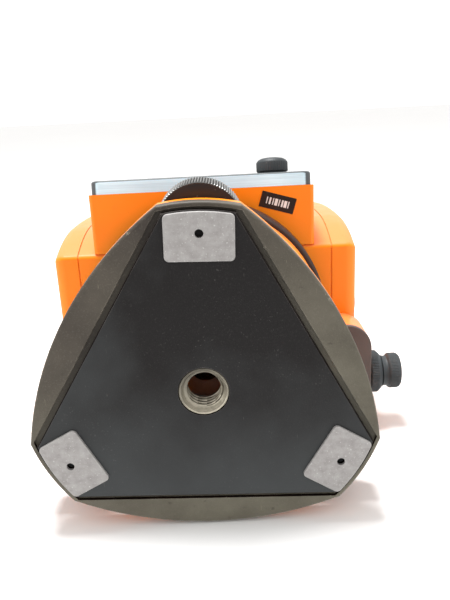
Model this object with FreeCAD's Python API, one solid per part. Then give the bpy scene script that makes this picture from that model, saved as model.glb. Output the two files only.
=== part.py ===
import FreeCAD, Part
import math
import os

# Surveying total station. Millimetres, +Z up along the vertical axis, the keyboard faces -Y.
# The origin lies on the vertical axis in the plane of the three foot pads.

V = FreeCAD.Vector
ORIGIN, ALONG_X, ALONG_Z = V(0, 0, 0), V(1, 0, 0), V(0, 0, 1)

# ---- clearances ----
shaft_fit = 0.05             # radial gap of a shaft that turns in its bore
move_gap = 0.4               # gap between pieces that pass each other
key_gap = 0.3                # gap round a key in the keyboard plate

# ---- levelling base, from the pads upwards ----
base_turn = 1.76             # angle of the base about the vertical axis, against the upper part
corner_angles = [-90, 30, 150]
base_corner_r = 75.4         # outline radius at the corners
base_corner_half = 12.0      # half angle of each corner arc
base_side = 61.7             # axis to the middle of a bowed side
base_low, base_thick, base_top_round, base_low_round = 2.5, 9.5, 1.2, 0.9
rim_corner_width = 1.8       # bare rim at a corner
rim_side = 49.8              # axis to the rim's straight inner edge
plate_corner_gap, plate_side_gap = 1.0, 2.2
plate_low, plate_thick, plate_chamfer = 1.2, 3.0, 0.5
screw_inset = 11.4           # outline corner to the foot screw's axis
pad_width, pad_corner, pad_hole_r, pad_round = 26.4, 1.9, 1.65, 0.3
pad_reach = 10.6             # foot screw's axis to the pad's inner edge
pad_edge_gap = 0.5           # pad's outer edge to the cover plate's corner
bushing_r, bushing_low, bushing_rise = 10.1, 3.5, 2.0
thread_r = 6.95              # wall of the 5/8 inch tripod thread, at its crests
mouth_chamfer = 1.6

# ---- foot screws ----
screw_r, socket_depth = 4.5, 6.0
collar_width, collar_height = 3.5, 1.4
knob_r, knob_lift, knob_height, knob_chamfer = 17.0, 2.0, 17.0, 1.2
knob_teeth, knob_tooth = 72, 0.7
lift_travel = 3.0            # the tribrach rises and falls this far
sleeve_wall, sleeve_height = 2.5, 23.0
sleeve_room, screw_short = 1.0, 2.0          # over the knob, and from the screw's end to the sleeve's

# ---- tribrach ----
drum_r, drum_room = 42.0, 3.0
arm_width, boss_wall, boss_roof = 22.0, 4.5, 6.0
neck_r, neck_height = 51.0, 12.0
head_r, head_thick = 59.3, 9.0
spindle_r, sight_r = 14.0, 6.5
bush_wall, bush_foot, bush_inset = 5.95, 4.0, 1.0
circle_r, circle_thick, circle_room, circle_recess = 45.0, 3.0, 3.0, 8.0
flange_r = 30.0

# ---- alidade ----
ring_gap, ring_r, ring_thick, ring_inner_r, ring_round = 1.0, 62.0, 9.0, 44.0, 1.5
deck_thick, deck_front, deck_back = 11.0, -36.0, 40.0
inner_x, outer_x, cover_depth = 36.0, 79.5, 13.8     # standards, and the depth of their side covers
wall = 3.0
standard_height, bulge_height = 149.0, 38.0
foot_y, calf_y, bulge_y, head_y = 35.2, 41.2, 43.5, 33.5   # half depth of a standard, from its foot up
standard_top_round, standard_low_round, cover_round = 16.0, 2.5, 6.0
seam_groove = 0.6            # width and depth of the groove where a cover meets its standard
tilt_height = 87.0           # telescope's tilting axis above the deck's underside
lug_cover, lug_width, lug_half, lug_height = 7.7, 8.0, 7.0, 14.0

# ---- display ----
box_half, box_front, box_wall, box_round = 57.2, -66.8, 2.5, 2.0
panel_lean = 12.0            # the face leans back from the box's front lower edge
box_height, box_back_height, box_top_depth = 55.0, 17.0, 3.8
bezel_depth, bezel_step, bezel_corner, bezel_edge_round = 7.0, 1.2, 5.0, 1.2
bezel_side, bezel_foot, plate_corner_round = 6.0, 5.0, 3.0
plate_inset, panel_thick = 1.0, 2.5
lcd_margin, lcd_foot, lcd_height, lcd_thick, lcd_key_gap = 5.0, 16.0, 25.0, 1.8, 8.5
function_key_inset, function_key_foot, function_key_pitch = 12.0, 7.0, 16.0
function_key_size, side_key_size = (11.0, 6.0), (9.0, 6.5)
side_keys = {"power": (20.0, 36.0), "escape": (7.0, 36.0), "enter": (13.5, 24.5)}   # from the right, and up
key_stand, key_height, key_corner, key_round = 1.0, 4.6, 1.2, 0.5
board_margin, board_drop, board_gap, board_thick = 2.0, 14.0, 0.5, 1.6
panel_knob_inset, panel_knob_foot = 12.8, 7.0
panel_knob_r, panel_knob_height, panel_knob_round = 8.2, 8.0, 1.4
panel_shaft_r = 3.0
label_x, label_y, label_turn, label_size, label_thick = 38.6, -58.5, 16.6, (17.9, 8.1), 0.25

# ---- levels and plummet on the deck ----
plate_level_y, plate_level_size = -27.5, (54.0, 11.0, 8.0)
vial_r, vial_length, vial_drop, vial_lip = 3.4, 42.0, 3.0, 0.4
round_level_y, round_level_r, round_level_height, round_vial_r, round_vial_depth = 22.0, 11.5, 7.5, 8.0, 5.0
plummet_half, plummet_depth, plummet_height, plummet_foot = 15.0, 12.0, 24.0, 12.0
plummet_knob_r, plummet_knob_length, plummet_shaft_r, plummet_bore = 9.0, 8.0, 6.0, 3.0

# ---- horizontal drive on the right ----
drive_reach = 4.0            # side cover's outer face to the housing's outer face
drive_front, drive_back, drive_height, drive_round = 2.5, 47.0, 20.0, 13.0
drive_wall, drive_cover_thick, drive_cover_chamfer = 2.5, 2.0, 0.4
drive_axis_y, drive_axis_foot = 33.0, 11.0
clamp_r, clamp_width, clamp_bevel, clamp_hub_r = 11.15, 6.4, 1.9, 5.0
tangent_r, tangent_width, tangent_bevel, tangent_shaft_r, tangent_gap = 9.35, 6.6, 1.2, 3.0, 0.5
tangent_neck, tangent_neck_drop = 3.2, 1.1   # length of a knob's neck, and how much slimmer it is
grip_teeth, grip_tooth = 48, 0.45

# ---- vertical drive on the right cover ----
vertical_y, vertical_drop = 20.0, 10.0
vertical_clamp_r, vertical_clamp_width = 14.0, 5.0
vertical_tangent_r, vertical_tangent_width = 10.5, 4.0

# ---- telescope ----
scope_gap, scope_half_z, scope_y0, scope_y1 = 5.0, 29.0, -32.0, 36.0
scope_round, scope_end_round = 9.0, 4.0
barrel_r, barrel_end = 25.0, 49.0
objective_r, objective_bore, objective_length = 26.0, 21.0, 6.0
lens_thick, lens_bulge = 4.0, 1.6
focus_r, focus_length, focus_gap, focus_teeth = 17.0, 13.0, 2.0, 40
eye_r, eye_end, eye_bore, eye_stem_r, eye_grip = 12.5, -59.5, 4.5, 9.0, 6.0
axle_r, axle_tail, bearing_wall, bearing_width = 8.0, 1.5, 3.5, 8.0
glass_circle_r, glass_circle_gap, glass_circle_thick = 30.0, 1.5, 2.0

# ---- handle ----
handle_leg, handle_depth, handle_room, handle_bar = 20.0, 21.0, 40.0, 24.0
handle_round, handle_inner_round, handle_edge_round = 20.0, 12.0, 4.0
thumb_r, thumb_length, thumb_shank_r = 6.0, 6.0, 2.5

# ---- battery in the left cover ----
battery_half, battery_foot, battery_height, battery_round = 25.0, 25.0, 85.0, 4.0
tray_wall, tray_space = 1.2, 0.2
latch_half, latch_height, latch_depth, latch_travel, latch_space = 8.0, 7.0, 3.0, 3.0, 3.0
cover_screw_r, cover_screw_head, cover_screw_shank, cover_screw_length = 2.6, 1.8, 1.3, 6.0
slot_width, slot_depth = 0.6, 0.7
cover_screw_low, cover_screw_high = (31.0, 15.0), (25.0, 18.0)   # from the middle, and from the cover's ends

# ---- heights and places that follow from them ----
base_top = base_low + base_thick
rim_corner = base_corner_r - rim_corner_width
plate_top = plate_low + plate_thick
plate_corner = rim_corner - plate_corner_gap
plate_side = rim_side - plate_side_gap
screw_circle = base_corner_r - screw_inset
pad_inner = screw_circle - pad_reach
pad_outer = plate_corner - pad_edge_gap
bushing_top = base_top + bushing_rise
socket_low = base_top - socket_depth
collar_r = screw_r + collar_width
knob_low = base_top + knob_lift
knob_top = knob_low + knob_height
sleeve_r = screw_r + sleeve_wall
sleeve_low = knob_top + lift_travel + sleeve_room
sleeve_top = sleeve_low + sleeve_height
screw_top = sleeve_top - screw_short
drum_low = bushing_top + lift_travel + drum_room
boss_r = sleeve_r + boss_wall
arm_top = sleeve_top + boss_roof
head_low = arm_top + neck_height
head_top = head_low + head_thick
bush_r = spindle_r + shaft_fit + bush_wall
bush_low, bush_top = drum_low + bush_foot, head_top - bush_inset
circle_floor = head_top - circle_recess
ring_low = head_top + ring_gap
deck_low = ring_low + ring_thick
deck_top = deck_low + deck_thick
seam_x = outer_x - cover_depth
bulge_z, standard_top, tilt_z = deck_low + bulge_height, deck_low + standard_height, deck_low + tilt_height
box_top, box_back_top = deck_low + box_height, deck_low + box_back_height
bezel_front = box_front - bezel_depth
panel_front = bezel_front + plate_inset
panel_back = panel_front + panel_thick
bezel_half = box_half - bezel_step
plate_half = bezel_half - bezel_side
plate_z0, plate_z1 = deck_low + bezel_foot, box_top - bezel_foot
lcd_x0 = lcd_margin - plate_half
lcd_x1 = plate_half - side_keys["power"][0] - side_key_size[0] / 2 - lcd_key_gap
lcd_z0, lcd_z1 = plate_z0 + lcd_foot, plate_z0 + lcd_foot + lcd_height
panel_knob_x, panel_knob_z = plate_half - panel_knob_inset, plate_z0 + panel_knob_foot
plummet_back, plummet_z = deck_back + plummet_depth, deck_low + plummet_foot
drive_x1, drive_low = outer_x + drive_reach, deck_low - drive_height
drive_z, vertical_z = drive_low + drive_axis_foot, tilt_z - vertical_drop
scope_half_x = inner_x - scope_gap
objective_end = barrel_end + objective_length
focus_y1 = scope_y0 - focus_gap
focus_y0 = focus_y1 - focus_length
bearing_r = axle_r + bearing_wall
bearing_boss_r = bearing_r + bearing_wall
bearing_end = inner_x + 1 + bearing_width
glass_circle_x = bearing_end + 1 + glass_circle_gap
axle_end = glass_circle_x + glass_circle_thick + axle_tail
lug_x1 = seam_x - lug_cover
lug_x0 = lug_x1 - lug_width
handle_under = standard_top + handle_room
handle_top = handle_under + handle_bar
battery_in = seam_x + tray_wall + move_gap + tray_space
battery_z0, battery_z1 = deck_low + battery_foot, deck_low + battery_foot + battery_height
latch_z0 = battery_z1 + tray_wall + latch_space


# ---- shape helpers ----

def box(x0, x1, y0, y1, z0, z1):
    return Part.makeBox(x1 - x0, y1 - y0, z1 - z0, V(x0, y0, z0))


def rod(radius, start, end):
    """A cylinder from one point to another."""
    return Part.makeCylinder(radius, (end - start).Length, start, end - start)


def rod_z(radius, z0, z1, x=0.0, y=0.0):
    return rod(radius, V(x, y, z0), V(x, y, z1))


def rod_x(radius, x0, x1, y, z):
    return rod(radius, V(x0, y, z), V(x1, y, z))


def rod_y(radius, y0, y1, x, z):
    return rod(radius, V(x, y0, z), V(x, y1, z))


def polar(radius, angle, z=0.0):
    return V(radius * math.cos(math.radians(angle)), radius * math.sin(math.radians(angle)), z)


def line(a, b):
    return Part.makeLine(a, b)


def arc(a, b, c):
    return Part.Arc(a, b, c).toShape()


def solid_of(edges, run):
    return Part.Face(Part.Wire(edges)).extrude(run)


def join(shapes):
    whole = shapes[0]
    for shape in shapes[1:]:
        whole = whole.fuse(shape)
    return whole.removeSplitter()


def edges_where(shape, test):
    return [edge for edge in shape.Edges if test(edge.BoundBox)]


def rounded_box(x0, x1, y0, y1, z0, z1, radius, axis):
    """A box whose four edges along one axis are rounded."""
    shape = box(x0, x1, y0, y1, z0, z1)
    length = {"x": x1 - x0, "y": y1 - y0, "z": z1 - z0}[axis]
    spans = {"x": "XLength", "y": "YLength", "z": "ZLength"}
    chosen = edges_where(shape, lambda b: abs(getattr(b, spans[axis]) - length) < 1e-4)
    return shape.makeFillet(radius, chosen)


def toothed(radius, tooth, teeth, start, end):
    """A disc with straight teeth cut round its rim."""
    direction = end - start
    turn = FreeCAD.Rotation(ALONG_Z, direction)
    points = []
    for step in range(2 * teeth):
        r = radius if step % 2 == 0 else radius - tooth
        points.append(start + turn.multVec(polar(r, 180.0 * step / teeth)))
    return Part.Face(Part.makePolygon(points + points[:1])).extrude(direction)


def mirror_x(shape):
    return shape.mirror(ORIGIN, ALONG_X)


def three_fold(shape):
    """The shape at the front corner, repeated at all three corners."""
    copies = []
    for angle in corner_angles:
        copy = shape.copy()
        copy.rotate(ORIGIN, ALONG_Z, angle - corner_angles[0])
        copies.append(copy)
    return copies


# ---- levelling base ----

def bowed_outline(z0, z1):
    """The base casting's outline: round corners joined by gently bowed sides."""
    edges = []
    half = base_corner_half
    for angle in corner_angles:
        start, end = polar(base_corner_r, angle - half, z0), polar(base_corner_r, angle + half, z0)
        following = polar(base_corner_r, angle + 120 - half, z0)
        edges.append(arc(start, polar(base_corner_r, angle, z0), end))
        edges.append(arc(end, polar(base_side, angle + 60, z0), following))
    return solid_of(edges, V(0, 0, z1 - z0))


def straight_outline(corner, side, z0, z1):
    """A triangle with straight sides and corners that follow one circle."""
    half = 60 - math.degrees(math.acos(side / corner))
    edges = []
    for angle in corner_angles:
        start, end = polar(corner, angle - half, z0), polar(corner, angle + half, z0)
        edges.append(arc(start, polar(corner, angle, z0), end))
        edges.append(line(end, polar(corner, angle + 120 - half, z0)))
    return solid_of(edges, V(0, 0, z1 - z0))


def at_screw(make):
    """A shape made round the vertical axis, moved to each foot screw."""
    shape = make()
    shape.translate(polar(screw_circle, corner_angles[0]))
    return three_fold(shape)


def base_casting():
    body = bowed_outline(base_low, base_top)
    body = body.makeFillet(base_top_round, edges_where(body, lambda b: b.ZMin > base_top - 1e-4))
    body = body.makeFillet(base_low_round, edges_where(body, lambda b: b.ZMax < base_low + 1e-4))
    body = body.cut(straight_outline(rim_corner, rim_side, base_low - 1, plate_top))
    body = body.cut(rod_z(bushing_r, base_low, base_top + 1))
    for socket in at_screw(lambda: rod_z(screw_r + shaft_fit, socket_low, base_top + 1)):
        body = body.cut(socket)
    return body


def base_cover_plate():
    plate = straight_outline(plate_corner, plate_side, plate_low, plate_top)
    plate = plate.makeChamfer(plate_chamfer, edges_where(plate, lambda b: b.ZMax < plate_low + 1e-4))
    plate = plate.cut(rod_z(bushing_r + 0.2, 0, plate_top + 1))
    for hole in at_screw(lambda: rod_z(pad_hole_r, 0, plate_low + plate_thick / 2)):
        plate = plate.cut(hole)
    return plate


def foot_pads():
    block = box(-pad_width / 2, pad_width / 2, -pad_outer - 1, -pad_inner, 0, plate_low)
    pad = block.common(rod_z(pad_outer, 0, plate_low))
    pad = pad.makeFillet(pad_corner, edges_where(pad, lambda b: b.XLength < 1e-4 and b.YLength < 1e-4))
    pad = pad.makeFillet(pad_round, edges_where(pad, lambda b: b.ZMax < 1e-4))
    pad = pad.cut(rod_z(pad_hole_r, -1, plate_low + 1, 0, -screw_circle))
    return Part.makeCompound(three_fold(pad))


def tripod_bushing():
    bushing = rod_z(bushing_r, bushing_low, bushing_top).cut(rod_z(thread_r, 0, bushing_top + 1))
    mouth = Part.makeCone(thread_r + mouth_chamfer, thread_r, mouth_chamfer, V(0, 0, bushing_low))
    return bushing.cut(mouth)


def foot_screw():
    shank = rod_z(screw_r, socket_low + move_gap, screw_top)
    shank = shank.makeChamfer(1.0, edges_where(shank, lambda b: b.ZLength < 1e-4))
    return join([shank, rod_z(collar_r, knob_low - collar_height, knob_low)])


def foot_knob():
    knob = toothed(knob_r, knob_tooth, knob_teeth, V(0, 0, knob_low), V(0, 0, knob_top))
    ends = rod_z(knob_r, knob_low, knob_top)
    ends = ends.makeChamfer(knob_chamfer, edges_where(ends, lambda b: b.ZLength < 1e-4))
    return knob.common(ends).cut(rod_z(screw_r, 0, knob_top + 1))


# ---- tribrach ----

def tribrach_body():
    arm = box(-arm_width / 2, arm_width / 2, -screw_circle, 0, sleeve_low, arm_top)
    arm = arm.fuse(rod_z(boss_r, sleeve_low, arm_top, 0, -screw_circle))
    neck = Part.makeCone(neck_r, head_r, neck_height, V(0, 0, arm_top))
    parts = [rod_z(drum_r, drum_low, arm_top), neck, rod_z(head_r, head_low, head_top)]
    body = join(parts + three_fold(arm))
    body = body.cut(rod_z(bush_r, drum_low - 1, head_top + 1))
    body = body.cut(rod_z(circle_r + circle_room, circle_floor, head_top + 1))
    for hole in at_screw(lambda: rod_z(sleeve_r, sleeve_low - 1, sleeve_top)):
        body = body.cut(hole)
    for hole in at_screw(lambda: rod_z(screw_r + 0.5, sleeve_top - 1, arm_top - 2)):
        body = body.cut(hole)
    return body


def foot_screw_sleeves():
    def sleeve():
        return rod_z(sleeve_r, sleeve_low, sleeve_top).cut(rod_z(screw_r + shaft_fit, 0, sleeve_top + 1))
    return Part.makeCompound(at_screw(sleeve))


def axis_bush():
    return rod_z(bush_r, bush_low, bush_top).cut(rod_z(spindle_r + shaft_fit, 0, bush_top + 1))


def horizontal_circle():
    disc = rod_z(circle_r, circle_floor, circle_floor + circle_thick)
    return disc.cut(rod_z(bush_r, 0, head_top))


# ---- alidade ----

def axis_spindle():
    shaft = rod_z(spindle_r, bush_low + 2, ring_low)
    flange = rod_z(flange_r, ring_low, deck_low)
    return join([shaft, flange]).cut(rod_z(sight_r, 0, deck_low + 1))


def lower_ring():
    ring = rod_z(ring_r, ring_low, deck_low)
    ring = ring.makeFillet(ring_round, edges_where(ring, lambda b: b.ZMax < ring_low + 1e-4))
    return ring.cut(rod_z(ring_inner_r, 0, deck_low + 1))


def standard_profile(x, inset=0.0):
    """The closed side outline of a standard, in the plane at this x."""
    def at(y, z):
        return V(x, y, z)
    low, top = deck_low + inset, standard_top - inset
    edges = []
    for side in (-1, 1):
        foot = at(side * (foot_y - inset), low)
        waist = at(side * (bulge_y - inset), bulge_z)
        head = at(side * (head_y - inset), top)
        near = at(side * (calf_y - inset), (low + bulge_z) / 2)
        rise = (bulge_y - head_y) / 4
        far = at(side * (bulge_y - inset - rise), (bulge_z + top) / 2)
        edges += [arc(foot, near, waist), arc(waist, far, head)]
    left_foot, right_foot = at(-foot_y + inset, low), at(foot_y - inset, low)
    left_head, right_head = at(-head_y + inset, top), at(head_y - inset, top)
    return [edges[0], edges[1], line(left_head, right_head), edges[3], edges[2], line(right_foot, left_foot)]


def standard_block(x0, x1, inset=0.0):
    """A slice of a standard between two planes, with its four long corners rounded."""
    def across(bounds):
        return bounds.YLength < 1e-4 and bounds.ZLength < 1e-4
    block = solid_of(Part.__sortEdges__(standard_profile(x0, inset)), V(x1 - x0, 0, 0))
    top = edges_where(block, lambda b: across(b) and b.ZMin > bulge_z + 10)
    block = block.makeFillet(max(standard_top_round - inset, 1.0), top)
    low = edges_where(block, lambda b: across(b) and b.ZMax < deck_low + inset + 1)
    return block.makeFillet(max(standard_low_round - inset, 1.0), low)


def right_standard():
    frame = standard_block(inner_x, seam_x)
    frame = frame.cut(standard_block(inner_x + wall, seam_x, wall))
    frame = frame.fuse(rod_x(bearing_boss_r, inner_x, bearing_end + 1, 0, tilt_z))
    frame = frame.cut(rod_x(bearing_r, inner_x + 1, seam_x, 0, tilt_z))
    frame = frame.cut(rod_x(axle_r + move_gap, 0, seam_x, 0, tilt_z))
    lug = box(lug_x0, lug_x1, -lug_half, lug_half, standard_top - wall, standard_top + lug_height)
    frame = frame.fuse(lug).removeSplitter()
    return frame.cut(rod_x(thumb_shank_r, lug_x0 + 2, lug_x1 + 1, 0, standard_top + lug_height / 2))


def left_standard():
    return mirror_x(right_standard())


def cover_shell():
    """The right-hand side cover before its openings are cut, with a groove along the seam."""
    cover = standard_block(seam_x + seam_groove, outer_x)
    cover = cover.makeFillet(cover_round, edges_where(cover, lambda b: b.XMin > outer_x - 1e-3))
    cover = cover.fuse(standard_block(seam_x, seam_x + seam_groove, seam_groove))
    return cover.cut(standard_block(seam_x, outer_x - wall, wall))


def screw_places():
    low = [V(outer_x, side * cover_screw_low[0], deck_low + cover_screw_low[1]) for side in (-1, 1)]
    high = [V(outer_x, side * cover_screw_high[0], standard_top - cover_screw_high[1]) for side in (-1, 1)]
    return low + high


def with_screw_holes(cover):
    for place in screw_places():
        cover = cover.cut(rod(cover_screw_r, place - V(cover_screw_head, 0, 0), place + V(1, 0, 0)))
        cover = cover.cut(rod(cover_screw_shank, place - V(wall + 1, 0, 0), place + V(1, 0, 0)))
    return cover


def cover_screws():
    screws = []
    for place in screw_places():
        head = rod(cover_screw_r, place - V(cover_screw_head, 0, 0), place)
        slot_low, slot_high = place.z - slot_width / 2, place.z + slot_width / 2
        head = head.cut(box(outer_x - slot_depth, outer_x + 1, place.y - 2, place.y + 2, slot_low, slot_high))
        shank = rod(cover_screw_shank, place - V(cover_screw_length, 0, 0), place - V(cover_screw_head, 0, 0))
        screws.append(head.fuse(shank).removeSplitter())
    return Part.makeCompound(screws + [mirror_x(screw) for screw in screws])


def right_side_cover():
    cover = with_screw_holes(cover_shell())
    return cover.cut(rod_x(clamp_hub_r + shaft_fit, seam_x, outer_x + 1, vertical_y, vertical_z))


def battery_block(grow):
    return rounded_box(battery_in - grow, outer_x + 1, -battery_half - grow, battery_half + grow,
                       battery_z0 - grow, battery_z1 + grow, battery_round + grow, "x")


def latch_block(grow, travel):
    return box(outer_x - latch_depth - grow, outer_x + 1, -latch_half - grow, latch_half + grow,
               latch_z0 - grow, latch_z0 + latch_height + travel + grow)


def left_side_cover():
    cover = with_screw_holes(cover_shell())
    trays = battery_block(move_gap + tray_wall).fuse(latch_block(move_gap + tray_wall, latch_travel))
    cover = cover.fuse(trays.common(standard_block(seam_x, outer_x)))
    cover = cover.cut(battery_block(move_gap)).cut(latch_block(move_gap, latch_travel))
    return mirror_x(cover.removeSplitter())


def battery_pack():
    pack = battery_block(0).cut(box(outer_x, outer_x + 2, -99, 99, 0, 400))
    pack = pack.makeFillet(1.2, edges_where(pack, lambda b: b.XMin > outer_x - 1e-3))
    return mirror_x(pack)


def battery_latch():
    latch = latch_block(0, 0).cut(box(outer_x, outer_x + 2, -99, 99, 0, 400))
    ridges = [box(outer_x, outer_x + 0.8, -latch_half + 1.5, latch_half - 1.5, z, z + 0.9)
              for z in (latch_z0 + 1.2, latch_z0 + 3.0, latch_z0 + 4.8)]
    return mirror_x(join([latch] + ridges))


def alidade_base():
    deck = box(-inner_x, inner_x, deck_front, deck_back, deck_low, deck_top)
    return deck.cut(rod_z(sight_r, 0, deck_low + deck_thick / 2))


# ---- display ----

def lean(shape):
    """The shape, turned back with the display's face about the box's front lower edge."""
    shape.rotate(V(0, box_front, deck_low), ALONG_X, -panel_lean)
    return shape


def leaned(y, z):
    hinge = V(0, box_front, deck_low)
    return hinge + FreeCAD.Rotation(ALONG_X, -panel_lean).multVec(V(0, y, z) - hinge)


def box_side(inset):
    """The display box's side outline, wide at the foot and thin at the top."""
    back, low, high = deck_front - inset, deck_low + inset, box_top - 2 * inset
    slope_top = leaned(box_front + max(box_top_depth - inset, 0.5), high)
    corners = [leaned(box_front, low), V(0, back, low), V(0, back, box_back_top - inset), slope_top,
               leaned(box_front, high)]
    return corners + corners[:1]


def display_box():
    def wedge(half, inset):
        face = Part.Face(Part.makePolygon([V(-half, p.y, p.z) for p in box_side(inset)]))
        return face.extrude(V(2 * half, 0, 0))
    shell = wedge(box_half, 0)
    sides = edges_where(shell, lambda b: b.XLength < 1e-4 and b.YLength > 1 and b.ZMax < deck_low + 1e-3)
    shell = shell.makeFillet(box_round, sides)
    hollow = wedge(box_half - box_wall, box_wall)
    hollow = hollow.cut(box(-99, 99, -bulge_y - 1.5, 0, 0, 400))
    shell = shell.cut(hollow)
    for block in (standard_block(inner_x, outer_x), mirror_x(standard_block(inner_x, outer_x))):
        shell = shell.cut(block)
    return shell


def panel_bezel():
    frame = rounded_box(-bezel_half, bezel_half, bezel_front, box_front, deck_low, box_top, bezel_corner, "y")
    frame = frame.makeFillet(bezel_edge_round, edges_where(frame, lambda b: b.YMax < bezel_front + 1e-3))
    return lean(frame.cut(panel_slab(bezel_front - 1, box_front + 1)))


def panel_slab(y0, y1):
    return rounded_box(-plate_half, plate_half, y0, y1, plate_z0, plate_z1, plate_corner_round, "y")


def key_places():
    places = {}
    for number in range(4):
        x = function_key_inset - plate_half + number * function_key_pitch
        places["key_f%d" % (number + 1)] = (x, plate_z0 + function_key_foot, function_key_size)
    for name, (inset, foot) in side_keys.items():
        places["key_" + name] = (plate_half - inset, plate_z0 + foot, side_key_size)
    return places


def key_block(place, grow, y0, y1):
    x, z, (width, height) = place
    return rounded_box(x - width / 2 - grow, x + width / 2 + grow, y0, y1,
                       z - height / 2 - grow, z + height / 2 + grow, key_corner + grow, "y")


def panel_plate():
    plate = panel_slab(panel_front, panel_back)
    for place in key_places().values():
        plate = plate.cut(key_block(place, key_gap, panel_front - 1, panel_back + 1))
    shaft = rod_y(panel_shaft_r + shaft_fit, panel_front - 1, panel_back + 1, panel_knob_x, panel_knob_z)
    return lean(plate.cut(window_block()).cut(shaft))


def window_block():
    return box(lcd_x0, lcd_x1, panel_front, panel_front + lcd_thick, lcd_z0, lcd_z1)


def lcd_window():
    return lean(window_block())


def key(place):
    front = panel_front - key_stand
    cap = key_block(place, 0, front, front + key_height)
    return lean(cap.makeFillet(key_round, edges_where(cap, lambda b: b.YMax < front + 1e-3)))


def display_board():
    front, half = box_front + board_gap, plate_half - board_margin
    return lean(box(-half, half, front, front + board_thick, plate_z0, box_top - board_drop))


def panel_knob():
    back = bezel_front - move_gap
    front = back - panel_knob_height
    knob = rod_y(panel_knob_r, front, back, panel_knob_x, panel_knob_z)
    knob = knob.makeFillet(panel_knob_round, edges_where(knob, lambda b: b.YMax < front + 1e-3))
    return lean(join([knob, rod_y(panel_shaft_r, back, panel_back + 2, panel_knob_x, panel_knob_z)]))


def asset_label():
    width, height = label_size
    label = box(-width / 2, width / 2, -height / 2, height / 2, deck_low - label_thick, deck_low)
    label.rotate(ORIGIN, ALONG_Z, label_turn)
    label.translate(V(label_x, label_y, 0))
    return label


# ---- levels and plummet ----

def vial(grow):
    z = deck_top + plate_level_size[2] - vial_drop
    return rod_x(vial_r + grow, -vial_length / 2 - grow, vial_length / 2 + grow, plate_level_y, z)


def plate_level_housing():
    length, width, height = plate_level_size
    low, high = plate_level_y - width / 2, plate_level_y + width / 2
    housing = rounded_box(-length / 2, length / 2, low, high, deck_top, deck_top + height, 2.0, "z")
    half = vial_r - vial_lip
    window = box(-vial_length / 2, vial_length / 2, plate_level_y - half, plate_level_y + half,
                 deck_top + height - vial_drop, deck_top + height + 1)
    return housing.cut(vial(0)).cut(window)


def plate_level_vial():
    return vial(0).cut(box(-99, 99, -99, 99, deck_top + plate_level_size[2] - 0.1, 400))


def circular_level_housing():
    housing = rod_z(round_level_r, deck_top, deck_top + round_level_height, 0, round_level_y)
    top = deck_top + round_level_height
    return housing.cut(rod_z(round_vial_r, top - round_vial_depth, top + 1, 0, round_level_y))


def circular_level_vial():
    top = deck_top + round_level_height
    return rod_z(round_vial_r, top - round_vial_depth, top - 0.4, 0, round_level_y)


def plummet_housing():
    housing = rounded_box(-plummet_half, plummet_half, deck_back, plummet_back,
                          deck_low, deck_low + plummet_height, 5.0, "y")
    return housing.cut(rod_y(plummet_shaft_r + shaft_fit, deck_back + 3, plummet_back + 1, 0, plummet_z))


def plummet_eyepiece():
    start = plummet_back + move_gap
    knob = toothed(plummet_knob_r, grip_tooth, grip_teeth, V(0, start, plummet_z),
                   V(0, start + plummet_knob_length, plummet_z))
    stem = rod_y(plummet_shaft_r, deck_back + 4, start, 0, plummet_z)
    end = start + plummet_knob_length
    return join([knob, stem]).cut(rod_y(plummet_bore, deck_back, end + 1, 0, plummet_z))


# ---- drives ----

def drive_outline(inset, z0, z1):
    """The horizontal drive housing's block, hollowed round the tribrach's head."""
    block = box(inner_x, drive_x1 - inset, drive_front + inset, drive_back - inset, z0, z1)
    corner = edges_where(block, lambda b: b.ZLength > z1 - z0 - 1e-4 and b.XMin > inner_x + 1)
    block = block.makeFillet(drive_round - inset, corner)
    block = block.cut(rod_z(head_r + ring_gap + inset, z0 - 1, ring_low))
    return block.cut(rod_z(ring_r + inset, ring_low, z1 + 1))


def drive_housing():
    housing = drive_outline(0, drive_low + drive_cover_thick, deck_low)
    housing = housing.cut(drive_outline(drive_wall, drive_low - 1, deck_low - drive_wall))
    return housing.cut(rod_x(clamp_hub_r + shaft_fit, drive_x1 - 5, drive_x1 + 1, drive_axis_y, drive_z))


def drive_housing_cover():
    cover = drive_outline(0, drive_low, drive_low + drive_cover_thick)
    return cover.makeChamfer(drive_cover_chamfer, edges_where(cover, lambda b: b.ZMax < drive_low + 1e-4))


def grip(radius, x0, x1, y, z, bevel):
    """A knurled disc that lies across the X axis, bevelled round its outer end."""
    ends = rod_x(radius, x0, x1, y, z)
    ends = ends.makeChamfer(bevel, edges_where(ends, lambda b: b.XMin > x1 - 1e-3))
    return toothed(radius, grip_tooth, grip_teeth, V(x0, y, z), V(x1, y, z)).common(ends)


def clamp_ring(face_x, y, z, radius, width):
    start = face_x + move_gap
    ring = grip(radius, start, start + width, y, z, clamp_bevel)
    hub = rod_x(clamp_hub_r, face_x - wall - 3, start, y, z)
    return join([ring, hub]).cut(rod_x(tangent_shaft_r + shaft_fit, 0, start + width + 1, y, z))


def tangent_knob(face_x, y, z, radius, width, ring_width):
    start = face_x + move_gap + ring_width + tangent_gap
    shoulder = start + tangent_neck
    knob = grip(radius, shoulder, shoulder + width, y, z, tangent_bevel)
    neck = rod_x(radius - tangent_neck_drop, start, shoulder, y, z)
    return join([knob, neck, rod_x(tangent_shaft_r, face_x - wall - 6, start, y, z)])


# ---- telescope ----

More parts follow.
